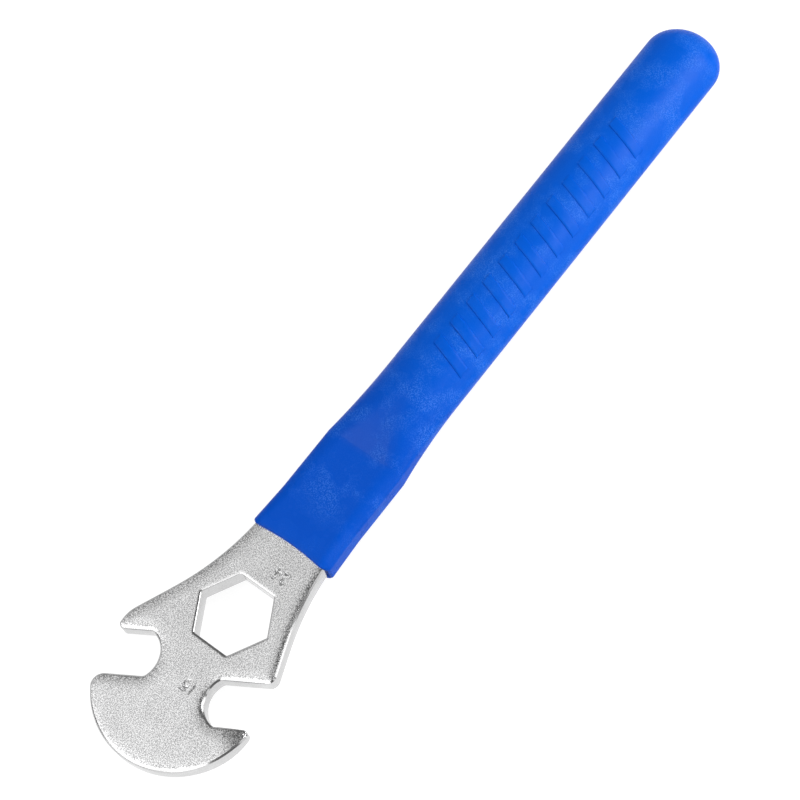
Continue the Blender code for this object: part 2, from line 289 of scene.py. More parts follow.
SKY_LIGHT, SKY_SEEN = 0.16, 1.0
room = bpy.data.worlds.new("room")
bpy.context.scene.world = room
walls = Finish(room)
grey = walls.node("ShaderNodeBackground", None, {"Color": WHITE, "Strength": SKY_LIGHT})
white = walls.node("ShaderNodeBackground", None, {"Color": WHITE, "Strength": SKY_SEEN})
sky_path = walls.node("ShaderNodeLightPath")
sky = walls.node("ShaderNodeMixShader", None, {0: sky_path, 1: grey, 2: white})
walls.node("ShaderNodeOutputWorld", None, {"Surface": sky})
bpy.context.scene.view_settings.view_transform = "Standard"

# %% [markdown]
# ## The forging's outline
#
# The steel's outline is made of arcs and straight runs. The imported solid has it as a
# polygon, so the script cuts that solid at mid-height, walks round each loop it finds
# and lays a smooth curve through the corners. Each corner's direction is the mean of
# its two sides, weighted by their lengths, which keeps straight runs straight. The walk
# may begin anywhere, because a set has no order of its own, so each loop is turned to
# start at its leftmost corner and every run gives the same skin.

# %% Read the outline
SAME_POINT = 0.001 * MM


def section_loops(node, height):
    """The closed loops in which a level plane cuts a node, as lists of 2-D points."""
    solid = bmesh.new()
    solid.from_mesh(node.data)
    bmesh.ops.remove_doubles(solid, verts=solid.verts, dist=SAME_POINT)
    everything = solid.verts[:] + solid.edges[:] + solid.faces[:]
    cut = bmesh.ops.bisect_plane(solid, geom=everything, dist=1e-7,
                                 plane_co=(0, 0, height), plane_no=(0, 0, 1))["geom_cut"]
    edges = {item for item in cut if isinstance(item, bmesh.types.BMEdge)}
    loops = []
    while edges:
        edge = edges.pop()
        start, here = edge.verts
        loop = [start.co.xy, here.co.xy]
        while here is not start:
            edge = next(e for e in here.link_edges if e in edges)
            edges.discard(edge)
            here = edge.other_vert(here)
            loop.append(here.co.xy)
        loops.append([Vector(p) for p in loop[:-1]])
    solid.free()
    return sorted(loops, key=lambda loop: -loop_area(loop)**2)


def loop_area(loop):
    """The area inside a loop, positive when it runs anticlockwise."""
    return sum(a.cross(b) for a, b in zip(loop, loop[1:] + loop[:1])) / 2


def real_corners(loop, least_turn=0.4):
    """The loop's corners, anticlockwise from the leftmost, without points on straight sides."""
    kept = []
    for before, here, after in zip(loop[-1:] + loop[:-1], loop, loop[1:] + loop[:1]):
        turned = degrees(abs((here - before).angle_signed(after - here)))
        if turned > least_turn:
            kept.append(here)
    kept = kept if loop_area(kept) > 0 else kept[::-1]
    leftmost = min(range(len(kept)), key=lambda i: tuple(kept[i]))
    return kept[leftmost:] + kept[:leftmost]


def smooth_loop(corners, step):
    """A curve through the corners, with points about one step apart."""
    count = len(corners)
    sides = [corners[(i + 1) % count] - corners[i] for i in range(count)]
    heading = [(sides[i - 1] + sides[i]).normalized() for i in range(count)]
    points = []
    for i, side in enumerate(sides):
        start, end = corners[i], corners[(i + 1) % count]
        pull, push = heading[i] * side.length, heading[(i + 1) % count] * side.length
        pieces = max(1, round(side.length / step))
        for k in range(pieces):
            t = k / pieces
            blend = (2 * t**3 - 3 * t**2 + 1, t**3 - 2 * t**2 + t, 3 * t**2 - 2 * t**3, t**3 - t**2)
            points.append(start * blend[0] + pull * blend[1] + end * blend[2] + push * blend[3])
    return points


loops = [real_corners(loop) for loop in section_loops(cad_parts["forged_wrench"], HEX.z)]
outer_corners, hexagon_corners = loops
print("outline corners:", len(outer_corners), "hexagon corners:", len(hexagon_corners))

# %% [markdown]
# ## The shape of the steel's faces
#
# A forging has no sharp edges: after the press it is trimmed and blasted, so its
# faces fall away slightly over the last few millimetres and then turn over. How they
# turn depends on which way the edge faces. Towards the head's end it is a broad
# rounding, and on the -Y side the trimming left a narrow bevel, with a worn shoulder
# behind part of it. Bevelling the edges one by one would need each to be picked by
# hand, so one sum gives the height of every point from its distance to the outline and
# the way out there. The far tip droops a little, and the punched hexagon has a small
# rounding of its own.

# %% Height of the face
HALF = STEEL_THICKNESS / 2
EDGE_WIDTH, EDGE_DROP = 1.7 * MM, 1.15 * MM
ROUNDEST = Vector((cos(radians(-165)), sin(radians(-165))))
LEAST_SHARE = 0.42
TRIM_WIDTH, TRIM_DROP, TRIM_ROUND = 0.62 * MM, 0.73 * MM, 0.08 * MM
TRIM_STARTS, TRIM_FULL = 0.74, 0.88
SHOULDER_WIDTH, SHOULDER_DROP = 2.3 * MM, 0.30 * MM
SHOULDER_SIDE = Vector((cos(radians(-60)), sin(radians(-60))))
SHOULDER_STARTS, SHOULDER_SPAN = 0.80, 0.15
WORN_AWAY = 0.32
CROWN_WIDTH, CROWN_DROP = 5.0 * MM, 0.34 * MM
RIM_WIDTH, RIM_DROP = 1.1 * MM, 0.42 * MM
FAR_TIP, DROOP_REACH, DROOP_DROP = (-28.0 * MM, -27.6 * MM), 10.0 * MM, 1.2 * MM


def quarter_round(distance, width, drop):
    """How far a rounding of this width and drop lies below the face."""
    along = 1 - np.clip(distance / width, 0, 1)
    return drop * (1 - np.sqrt(1 - along**2))


def face_height(points, from_outline, outwards, from_hexagon):
    """Half thickness of the forging at these points, as an array."""
    turned = np.clip(outwards @ ROUNDEST, 0, 1)
    share = LEAST_SHARE + (1 - LEAST_SHARE) * turned**2 * (3 - 2 * turned)
    crown = CROWN_DROP * np.clip(1 - from_outline / CROWN_WIDTH, 0, 1) ** 2
    rounding = quarter_round(from_outline, EDGE_WIDTH * share, EDGE_DROP * share)
    worn = np.clip((outwards @ SHOULDER_SIDE - SHOULDER_STARTS) / SHOULDER_SPAN, 0, 1)
    bevel = TRIM_DROP * (1 - WORN_AWAY * worn) * np.clip(1 - from_outline / TRIM_WIDTH, 0, 1)
    bevel += quarter_round(from_outline, TRIM_ROUND, TRIM_ROUND)
    trimmed = np.clip((-outwards[:, 1] - TRIM_STARTS) / (TRIM_FULL - TRIM_STARTS), 0, 1)
    trimmed = trimmed**2 * (3 - 2 * trimmed)
    edge = rounding * (1 - trimmed) + bevel * trimmed
    edge += SHOULDER_DROP * worn * np.clip(1 - from_outline / SHOULDER_WIDTH, 0, 1) ** 2
    rim = quarter_round(from_hexagon, RIM_WIDTH, RIM_DROP)
    from_tip = np.hypot(*(np.array(points) - HEX.xy - FAR_TIP).T)
    droop = DROOP_DROP * np.clip(1 - from_tip / DROOP_REACH, 0, 1) ** 2
    return HALF - crown - edge - rim - droop


def nearest_on_loop(points, loop):
    """Shortest distance from each point to an anticlockwise loop, and the way out there."""
    start = np.array(loop)
    side = np.roll(start, -1, axis=0) - start
    length2 = (side**2).sum(1)
    shortest, nearest = [], []
    for point in np.array(points):
        gap = point - start
        share = np.clip((gap * side).sum(1) / length2, 0, 1)
        distance = np.hypot(*(gap - side * share[:, None]).T)
        nearest.append(distance.argmin())
        shortest.append(distance[nearest[-1]])
    outwards = np.stack([side[:, 1], -side[:, 0]], 1) / np.sqrt(length2)[:, None]
    return np.array(shortest), outwards[nearest]


def distance_to_loop(points, loop):
    return nearest_on_loop(points, loop)[0]


print("wall left upright at the head's end, mm:", round(2 * (HALF - CROWN_DROP - EDGE_DROP) / MM, 2))

# %% [markdown]
# ## Size marks
#
# Plain numbers are stamped into the upper face, 15 beside the jaws and 24 beside the
# hexagon. A text object cut in by a Boolean would leave ragged shading on so fine a
# net, so each figure is a few strokes of a round-nosed punch instead. The groove is
# one more drop in the height of the face, worked out from the distance to a stroke.

# %% Strokes of the figures
FIGURE_HEIGHT, FIGURE_WIDTH, FIGURE_PITCH = 3.6 * MM, 2.5 * MM, 3.1 * MM
GROOVE_HALF, GROOVE_DEPTH = 0.27 * MM, 0.30 * MM
MARKS = (("15", (-26.8 * MM, -3.5 * MM)), ("24", (18.5 * MM, -4.4 * MM)))


def bend(centre, radius, start, end, pieces=10):
    """Points of an arc in a figure's own square, its angles in degrees."""
    turns = (radians(start + (end - start) * i / pieces) for i in range(pieces + 1))
    return [(centre[0] + radius * cos(a), centre[1] + radius * sin(a)) for a in turns]


STROKES = {
    "1": [(0.25, 0.80), (0.55, 1.0), (0.55, 0.0)],
    "2": bend((0.5, 0.70), 0.32, 165, -25) + [(0.12, 0.0), (0.92, 0.0)],
    "4": [(0.72, 0.0), (0.72, 1.0), (0.08, 0.30), (0.98, 0.30)],
    "5": [(0.88, 1.0), (0.22, 1.0), (0.16, 0.55)] + bend((0.48, 0.33), 0.35, 115, -145),
}


def mark_lines():
    """Every stroke of the marks, as rows of points in the plane of the face."""
    lines = []
    for figures, place in MARKS:
        for i, figure in enumerate(figures):
            left = place[1] + (i - len(figures) / 2) * FIGURE_PITCH
            top = place[0] - FIGURE_HEIGHT / 2
            lines.append(np.array([
                (HEX.x + top + (1 - up) * FIGURE_HEIGHT, HEX.y + left + along * FIGURE_WIDTH)
                for along, up in STROKES[figure]
            ]))
    return lines


def distance_to_marks(points):
    """Shortest distance from each point to any stroke."""
    points = np.array(points)
    shortest = np.full(len(points), 1.0)
    for line in mark_lines():
        for start, end in zip(line, line[1:]):
            side = end - start
            share = np.clip((points - start) @ side / (side @ side), 0, 1)
            gap = points - start - share[:, None] * side
            shortest = np.minimum(shortest, np.hypot(*gap.T))
    return shortest


print("strokes:", len(mark_lines()))

# %% [markdown]
# ## Building the forging's skin
#
# The skin starts from two lines of points, one along the outline and one round the
# hexagon. The outline's line is set a hair inside the solid, so that the dressed wrench
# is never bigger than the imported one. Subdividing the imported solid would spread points
# evenly. Here they stand close together on the head and far apart along the part of
# the handle that the sleeve hides.

# %% Lines of points
HEAD_STEP, SHANK_STEP = 0.4 * MM, 3.0 * MM
HIDDEN_FROM_MOUTH = 4 * MM
SHY = 0.03 * MM


def inset(loop, distance):
    """The loop moved to its left, which is inwards on an anticlockwise outline."""
    moved = []
    for before, here, after in zip(loop[-1:] + loop[:-1], loop, loop[1:] + loop[:1]):
        into, out = (here - before).normalized(), (after - here).normalized()
        bisector = Vector((-into.y - out.y, into.x + out.x)).normalized()
        moved.append(here + bisector * distance / bisector.dot(Vector((-into.y, into.x))))
    return moved


def thin_out(loop, handle_start, every):
    """Keep all points on the head and one in so many along the hidden handle."""
    return [p for i, p in enumerate(loop) if p.x < handle_start or i % every == 0]


handle_start = HEX.x + MOUTH_FROM_HEX + HIDDEN_FROM_MOUTH
outer = inset(smooth_loop(outer_corners, HEAD_STEP), SHY)
outer = thin_out(outer, handle_start, round(SHANK_STEP / HEAD_STEP))
hexagon = smooth_loop(hexagon_corners, HEAD_STEP)
print("outline points:", len(outer), "hexagon points:", len(hexagon))

# %% [markdown]
# ## Rings and a net
#
# Near each edge the skin is made of rings that follow the outline, close together
# where the surface turns fastest. Rings all the way in would tangle in the narrow
# tips, so inside them a triangulation fills the flat part round an even grid of
# points, with a finer grid under the figures.

# %% Rings and net
GRID_STEP, MARK_STEP = 0.5 * MM, 0.1 * MM
LEAST_GAP, MARK_REACH, MARK_BOX = 0.5 * GRID_STEP, 1.4 * GROOVE_HALF, 2 * GROOVE_HALF
EDGE_RINGS = [d * MM for d in (
    0, 0.01, 0.04, 0.09, 0.16, 0.25, 0.36, 0.49, 0.63, 0.79, 0.96, 1.14, 1.32)]
RIM_RINGS = [d * MM for d in (0, 0.012, 0.05, 0.12, 0.22, 0.36, 0.54, 0.76, 1.0, 1.25)]


def inside(point, loop_array):
    """Whether a point lies inside a loop, by counting crossings."""
    a, b = loop_array, np.roll(loop_array, -1, axis=0)
    spans = (a[:, 1] > point[1]) != (b[:, 1] > point[1])
    a, b = a[spans], b[spans]
    crossings = a[:, 0] + (point[1] - a[:, 1]) * (b[:, 0] - a[:, 0]) / (b[:, 1] - a[:, 1])
    return (crossings > point[0]).sum() % 2 == 1


def grid_points(outer_limit, hexagon_limit):
    """Points of an even grid that lie on the flat part of the head."""
    low, high = Vector(steel_low).xy, Vector((handle_start, steel_high.y))
    places = []
    for x in np.arange(low.x, high.x, GRID_STEP):
        for y in np.arange(low.y, high.y, GRID_STEP):
            places.append((x, y))
    edge, hole = np.array(outer_limit), np.array(hexagon_limit)
    places = [p for p in places if inside(p, edge) and not inside(p, hole)]
    clear = np.minimum(distance_to_loop(places, edge), distance_to_loop(places, hole))
    clear = np.minimum(clear, distance_to_marks(places) - GROOVE_HALF)
    return [Vector(p) for p, gap in zip(places, clear) if gap > LEAST_GAP] + mark_points()


def mark_points():
    """A fine grid that covers the strokes of the figures and a little more."""
    places = []
    for line in mark_lines():
        low, high = line.min(axis=0) - MARK_BOX, line.max(axis=0) + MARK_BOX
        xs, ys = (np.arange(round(a / MARK_STEP), round(b / MARK_STEP)) for a, b in zip(low, high))
        places += [(x, y) for x in xs for y in ys]
    places = np.array(sorted(set(places))) * MARK_STEP
    return [Vector(p) for p in places[distance_to_marks(places) < MARK_REACH]]


def flat_net(outer_limit, hexagon_limit):
    """Triangulate between the innermost rings: points and triangles by index."""
    grid = grid_points(outer_limit, hexagon_limit)
    points = outer_limit + hexagon_limit + grid
    n, m = len(outer_limit), len(hexagon_limit)
    edges = [(i, (i + 1) % n) for i in range(n)] + [(n + i, n + (i + 1) % m) for i in range(m)]
    found, _, faces, *_ = geometry.delaunay_2d_cdt(points, edges, [], 1, 1e-9)
    hole = np.array(hexagon_limit)
    middle = [sum((found[i] for i in f), Vector((0, 0))) / len(f) for f in faces]
    return found, [f for f, centre in zip(faces, middle) if not inside(centre, hole)]


outer_rings = [inset(outer, d) for d in EDGE_RINGS]
hexagon_rings = [inset(hexagon, -d) for d in RIM_RINGS]
net_points, net_faces = flat_net(outer_rings[-1], hexagon_rings[-1])
print("net:", len(net_points), "points,", len(net_faces), "triangles")

# %% [markdown]
# ## Joining the two faces
#
# The lower face is the same net turned over, without the figures, and plain walls join
# the two round the outline and round the hexagon. So the forging is one closed skin,
# built point by point in bmesh. A Solidify modifier would be shorter, but it would
# give both faces the same marks.

# %% Forging mesh
STEEL_CREASE = radians(50)


def heights(points, side):
    """Half thickness at these points; only the upper side, 1, has the marks."""
    height = face_height(points, *nearest_on_loop(points, outer), distance_to_loop(points, hexagon))
    if side > 0:
        groove = np.clip(distance_to_marks(points) / GROOVE_HALF, 0, 1)
        height -= GROOVE_DEPTH * (1 - groove**2)
    return height


def add_face_half(skin, side):
    """One face of the forging with its roundings; returns its two outermost rings."""
    rings = []
    for loop in outer_rings[:-1] + hexagon_rings[:-1]:
        rings.append(raised(skin, loop, side))
    net = raised(skin, net_points, side)
    for face in net_faces:
        skin.faces.new([net[i] for i in face])
    n, m = len(outer), len(hexagon)
    split = len(outer_rings) - 1
    outer_set = rings[:split] + [net[:n]]
    hexagon_set = rings[split:] + [net[n:n + m]]
    for rows in (outer_set, hexagon_set):
        for first, second in zip(rows, rows[1:]):
            strip(skin, first, second)
    return outer_set[0], hexagon_set[0]


def raised(skin, points, side):
    """Vertices over or under these points, at the height of the face."""
    return [skin.verts.new((*p, HEX.z + side * h)) for p, h in zip(points, heights(points, side))]


def strip(skin, first, second):
    """Quads between two rings of equal count."""
    for i in range(len(first)):
        j = (i + 1) % len(first)
        skin.faces.new((first[i], first[j], second[j], second[i]))


def piece_from(skin, name):
    """An object from a finished bmesh, with its faces turned outwards."""
    bmesh.ops.recalc_face_normals(skin, faces=skin.faces)
    mesh = bpy.data.meshes.new(name)
    skin.to_mesh(mesh)
    skin.free()
    item = bpy.data.objects.new(name, mesh)
    bpy.context.scene.collection.objects.link(item)
    mesh.shade_smooth()
    return item


skin = bmesh.new()
upper_outer, upper_hexagon = add_face_half(skin, 1)
lower_outer, lower_hexagon = add_face_half(skin, -1)
strip(skin, upper_outer, lower_outer)
strip(skin, upper_hexagon, lower_hexagon)
steel = piece_from(skin, "steel_forging")
steel.data.set_sharp_from_angle(angle=STEEL_CREASE)
print("steel:", len(steel.data.polygons), "faces")

# %% [markdown]
# ## Where the edges are rubbed
#
# The edges and walls are rubbed smooth, while the flat faces keep their blasted grain.
# Each point of the mesh carries a number, 1 at an edge and 0 on the flat, and the
# finish reads it as an attribute. The mesh knows exactly where its edges are, which a
# texture laid over it would have to guess.

# %% Rubbed edges
RUBBED_WIDTH = 1.3 * MM
spots = [v.co.xy for v in steel.data.vertices]
from_edge = np.minimum(distance_to_loop(spots, outer), distance_to_loop(spots, hexagon))
rubbed_layer = steel.data.attributes.new("rubbed", "FLOAT", "POINT")
rubbed_layer.data.foreach_set("value", np.clip(1 - from_edge / RUBBED_WIDTH, 0, 1))
print("rubbed points:", int((from_edge < RUBBED_WIDTH).sum()))

# %% [markdown]
# ## Blasted, plated steel
#
# The steel is shot-blasted and then plated, so it is a bright metal whose surface is
# all fine pits. From arm's length each pit is a light or dark speck. Noise about a
# third of a millimetre across drives three things at once: a small bump, a change of
# brightness and a change of roughness. All three fade on the rubbed edges, and slow
# clouds shift the brightness a little from place to place.

# %% Steel finish
PIT_SIZE, CLOUD_SIZE, PIT_DEPTH = 0.36 * MM, 9 * MM, 0.06 * MM
DARK_PIT, BRIGHT_PIT = (0.24, 0.24, 0.242, 1), (0.90, 0.90, 0.902, 1)
RUBBED_TONE, GRAIN_ON_EDGES, CLOUD_SHARE = 0.55, 0.12, 0.25
RUBBED_ROUGHNESS, GRAIN_ROUGHNESS = 0.16, 0.08

plating = new_finish("blasted_plating")
spot = plating.node("ShaderNodeTexCoord", None, None, "Object")
pits = plating.noise(spot, PIT_SIZE, detail=2.0)
clouds = plating.noise(spot, CLOUD_SIZE, detail=3.0)
rubbed = plating.node("ShaderNodeAttribute", {"attribute_name": "rubbed"}, None, "Fac")
blasted = plating.smooth(rubbed, 0.25, 0.75, 1.0, GRAIN_ON_EDGES)
speck = plating.smooth(pits, 0.38, 0.62)
grainy = speck * blasted + (1 - blasted) * RUBBED_TONE
tone = grainy * (1 - CLOUD_SHARE) + clouds * CLOUD_SHARE
colour = plating.mix(tone, DARK_PIT, BRIGHT_PIT)
bumps = plating.node("ShaderNodeBump", None, {
    "Strength": 0.6,
    "Distance": PIT_DEPTH,
    "Height": pits * blasted,
})
metal = plating.node("ShaderNodeBsdfPrincipled", None, {
    "Base Color": colour,
    "Metallic": 1.0,
    "Roughness": RUBBED_ROUGHNESS + (GRAIN_ROUGHNESS + speck * GRAIN_ROUGHNESS) * blasted,
    "Normal": bumps,
})
plating.node("ShaderNodeOutputMaterial", None, {"Surface": metal})
steel.data.materials.append(plating.owner)
print("steel finish:", len(plating.tree.nodes), "nodes")

# %% [markdown]
# ## The sleeve's cross-section
#
# At the neck the sleeve is a flat collar with rounded corners. Past a crease it
# swells into an oval barrel and ends in a dome. One rule gives all of it: a rectangle
# with elliptical corners, whose half sizes and corner radii change along the handle
# until the corners take up the whole section. The upper corners are rounder than the
# lower ones, and the crown is a little flatter than the underside. Four separate
# shapes joined by a Boolean would leave seams where they meet.

# %% Section of the sleeve
FLARE_LENGTH, COLLAR_LENGTH, RAMP_LENGTH, DOME_LENGTH = 14.5 * MM, 38.0 * MM, 31.0 * MM, 11.5 * MM
MOUTH_HALF, COLLAR_HALF, BARREL_HALF = 15.92 * MM, 15.2 * MM, 13.75 * MM
COLLAR_THICK, BARREL_THICK = 5.05 * MM, 9.5 * MM
# A corner's width at the mouth, its width where the collar ends, and its thickness
UPPER_CORNER, LOWER_CORNER = (4.0 * MM, 7.0 * MM, 3.4 * MM), (2.0 * MM, 2.0 * MM, 2.0 * MM)
DENSE_STEPS, RING_STEPS = 48, 44
CROWN_SHARE = 0.955
MOUTH_BOW = 1.2 * MM
MOUTH_CORNER, MOUTH_CORNER_BACK = 3.0 * MM, 1.5 * MM
FLARE_END = MOUTH_FROM_HEX + FLARE_LENGTH
COLLAR_END = MOUTH_FROM_HEX + COLLAR_LENGTH
RAMP_END = COLLAR_END + RAMP_LENGTH
CAP_END = MOUTH_FROM_HEX + SLEEVE_LENGTH
DOME_START = CAP_END - DOME_LENGTH


def share_of(x, start, end):
    return min(1.0, max(0.0, (x - start) / (end - start)))


def between(start, end, share):
    return start + (end - start) * share


def section_size(x, corner_sizes=LOWER_CORNER):
    """Half width, half thickness and the corners' two radii at x from the hexagon."""
    corner_start, corner_wide, corner_thick = corner_sizes
    collar = between(MOUTH_HALF, COLLAR_HALF, share_of(x, MOUTH_FROM_HEX, FLARE_END))
    corner = between(corner_start, corner_wide, share_of(x, MOUTH_FROM_HEX, COLLAR_END))
    swell = 1 - (1 - share_of(x, COLLAR_END, RAMP_END)) ** 2
    sizes = (
        between(collar, BARREL_HALF, swell),
        between(COLLAR_THICK, BARREL_THICK, swell),
        between(corner, BARREL_HALF, swell),
        between(corner_thick, BARREL_THICK, swell),
    )
    shrink = sqrt(1 - share_of(x, DOME_START, CAP_END) ** 2)
    return [size * shrink for size in sizes]


def quarter_section(x, corner_sizes):
    """From the middle of the top to the middle of the side, as dense points."""
    wide, thick, corner_wide, corner_thick = section_size(x, corner_sizes)
    points = [(0.0, thick)]
    for i in range(DENSE_STEPS + 1):
        a = pi / 2 * (1 - i / DENSE_STEPS)
        y = wide - corner_wide + corner_wide * cos(a)
        z = thick - corner_thick + corner_thick * sin(a)
        points.append((y, z))
    return np.array(points + [(wide, 0.0)])


def even_quarter(x, corner_sizes):
    """Points of that quarter at even distances along it."""
    dense = quarter_section(x, corner_sizes)
    length = np.r_[0, np.cumsum(np.hypot(*np.diff(dense, axis=0).T))]
    places = np.linspace(0, 1, RING_STEPS + 1) * length[-1]
    return np.stack([np.interp(places, length, dense[:, k]) for k in (0, 1)], 1)


def ring_at(x, shrink=0.0, bow=0.0):
    """A whole ring at x, as 3-D points from the hexagon's centre."""
    upper, lower = (even_quarter(x, sizes) for sizes in (UPPER_CORNER, LOWER_CORNER))
    wide, thick = upper[:, 0].max(), upper[:, 1].max()
    scale = [1 - shrink / wide, 1 - shrink / thick]
    upper, lower = upper * scale, lower * scale
    right = [(-y, z * CROWN_SHARE) for y, z in upper[::-1]]
    left = [(y, z * CROWN_SHARE) for y, z in upper[1:]]
    lower = [(y, -z) for y, z in lower[-2::-1]] + [(-y, -z) for y, z in lower[1:-1]]
    return [Vector((x + bow * mouth_shift(y, wide), y, z)) for y, z in right + left + lower]


def mouth_shift(y, wide):
    """How far back the mouth lies at y: bowed out in the middle, its corners rounded off."""
    corner = max(0.0, abs(y) - wide + MOUTH_CORNER) / MOUTH_CORNER
    return MOUTH_CORNER_BACK * corner**2 - MOUTH_BOW * (y / wide) ** 2


print("ring points:", len(ring_at(RAMP_END)))

# %% [markdown]
# ## Building the sleeve
#
# The skin is a loft: rings from the lip of the mouth to the tip of the dome, joined
# by quads. The rings stand closer together on the ramp and the dome, where the form
# changes. At the mouth the skin turns over a small lip, runs back inside round the
# shank for six millimetres and is closed there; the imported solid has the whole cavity.

# %% Sleeve mesh
LIP = 0.5 * MM
SNUG = 0.05 * MM
LIP_DEPTH, LIP_STEPS = 6.0 * MM, 5
COLLAR_STEP, CREASE_GAP = 1.5 * MM, 0.5 * MM
RAMP_PLACES, BARREL_PLACES, DOME_PLACES = 49, 60, 33
RAMP_CROWDING = 1.3
SLEEVE_CREASE = radians(40)


def lip_rings():
    """Rings that turn from the mouth's face over its lip."""
    rings = []
    for i in range(LIP_STEPS + 1):
        a = pi / 2 * i / LIP_STEPS
        place = MOUTH_FROM_HEX + LIP * (1 - sin(a))
        rings.append(ring_at(place, shrink=LIP * (1 - cos(a)), bow=1.0))
    return rings[::-1]


def ring_places():
    """Where the rings stand along the handle, from the collar to the dome."""
    collar = np.arange(MOUTH_FROM_HEX + COLLAR_STEP, COLLAR_END - CREASE_GAP, COLLAR_STEP)
    ramp = COLLAR_END + RAMP_LENGTH * np.linspace(0, 1, RAMP_PLACES) ** RAMP_CROWDING
    barrel = np.linspace(RAMP_END, DOME_START, BARREL_PLACES)[1:]
    dome = DOME_START + DOME_LENGTH * np.sin(np.linspace(0, pi / 2, DOME_PLACES)[1:-1])
    return [*collar, *ramp, *barrel, *dome]


def inner_ring(x):
    """The wall of the cavity at x: a rounded rectangle that hugs the shank."""
    ring = []
    for point in ring_at(x, bow=1.0):
        wide, thick = section_size(x)[:2]
        wall = thick - HALF - SNUG
        half_wide, half_thick = wide - wall, thick - wall
        y = max(-half_wide, min(half_wide, point.y * half_wide / wide))
        z = max(-half_thick, min(half_thick, point.z * half_thick / thick))
        ring.append(Vector((point.x, y, z)))
    return ring


def add_rings(skin, rings):
    """Rings of vertices joined by quads, in the order given."""
    made = [[skin.verts.new(HEX + p) for p in ring] for ring in rings]
    for first, second in zip(made, made[1:]):
        strip(skin, first, second)
    return made


skin = bmesh.new()
cavity = [inner_ring(MOUTH_FROM_HEX + d) for d in (LIP_DEPTH, LIP_DEPTH / 2, 0.0)]
skin_rings = add_rings(skin, cavity + lip_rings() + [ring_at(x) for x in ring_places()])
tip = skin.verts.new(HEX + Vector((CAP_END - SHY, 0, 0)))
last = skin_rings[-1]
for i in range(len(last)):
    skin.faces.new((last[i], last[(i + 1) % len(last)], tip))
skin.faces.new(skin_rings[0])
sleeve = piece_from(skin, "vinyl_sleeve")
sleeve.data.set_sharp_from_angle(angle=SLEEVE_CREASE)
print("sleeve:", len(sleeve.data.polygons), "faces")

# %% [markdown]
# ## Raised bars on the crown
#
# A band of low relief runs along the top of the barrel and helps the hand to hold it.
# Here it is a plain row of slanted bars. Each bar is a small net that follows the
# barrel's curve, raised a third of a millimetre, with soft edges that sink into it. A
# fan of triangles closes it underneath, so that every bar is a solid body. A bump in
# the finish would be quicker, but it would be lost in the exported mesh.

# %% Bars
BAR_COUNT, BAR_START, BAR_PITCH = 12, 106.0 * MM, 8.6 * MM
BAR_WIDTH, BAR_REACH, BAR_SLANT = 4.2 * MM, 6.9 * MM, radians(18)
BAR_MIDDLE = -4.4 * MM
BAR_RAISE, BAR_SINK, BAR_EDGE = 0.34 * MM, 0.12 * MM, 0.32 * MM
BAR_STEP_ACROSS, BAR_STEP_ALONG, BAR_EDGE_STEPS = 0.5 * MM, 0.7 * MM, 4
BAR_CREASE = radians(60)


def over_barrel(x, y, lift):
    """The point that stands this far out from the barrel's skin at x and y."""
    wide, thick = section_size(x)[:2]
    thick *= CROWN_SHARE
    z = thick * sqrt(1 - (y / wide) ** 2)
    outwards = Vector((0, y / wide**2, z / thick**2)).normalized()
    return Vector((x, y, z)) + outwards * lift


def bar_grid(length, middle_step):
    """Distances along one side of a bar, close together at both edges."""
    rise = [BAR_EDGE * k / BAR_EDGE_STEPS for k in range(BAR_EDGE_STEPS)]
    count = max(2, round(length / middle_step))
    middle = list(np.linspace(BAR_EDGE, length - BAR_EDGE, count))
    return rise + middle + [length - r for r in rise[::-1]]


def add_bar(skin, start):
    """One slanted bar whose near corner starts at this place along the handle."""
    across = bar_grid(2 * BAR_REACH, BAR_STEP_ACROSS)
    along = bar_grid(BAR_WIDTH, BAR_STEP_ALONG)
    rows = []
    for v in across:
        row = []
        for u in along:
            x = start + u + (v - BAR_REACH) * sin(BAR_SLANT)
            near = min(u, BAR_WIDTH - u, v, 2 * BAR_REACH - v)
            lift = between(-BAR_SINK, BAR_RAISE, sin(pi / 2 * min(1.0, near / BAR_EDGE)))
            row.append(skin.verts.new(HEX + over_barrel(x, BAR_MIDDLE + v - BAR_REACH, lift)))
        rows.append(row)
    for first, second in zip(rows, rows[1:]):
        for i in range(len(first) - 1):
            skin.faces.new((first[i], first[i + 1], second[i + 1], second[i]))
    right_side = [row[-1] for row in rows[1:-1]]
    left_side = [row[0] for row in rows[1:-1]]
    rim = rows[0] + right_side + rows[-1][::-1] + left_side[::-1]
    under = skin.verts.new(HEX + over_barrel(start + BAR_WIDTH / 2, BAR_MIDDLE, -BAR_SINK))
    for i in range(len(rim)):
        skin.faces.new((rim[i], rim[(i + 1) % len(rim)], under))


skin = bmesh.new()
for i in range(BAR_COUNT):
    add_bar(skin, BAR_START + i * BAR_PITCH)
bars = piece_from(skin, "grip_bars")
bars.data.set_sharp_from_angle(angle=BAR_CREASE)
print("bars:", len(bars.data.polygons), "faces")
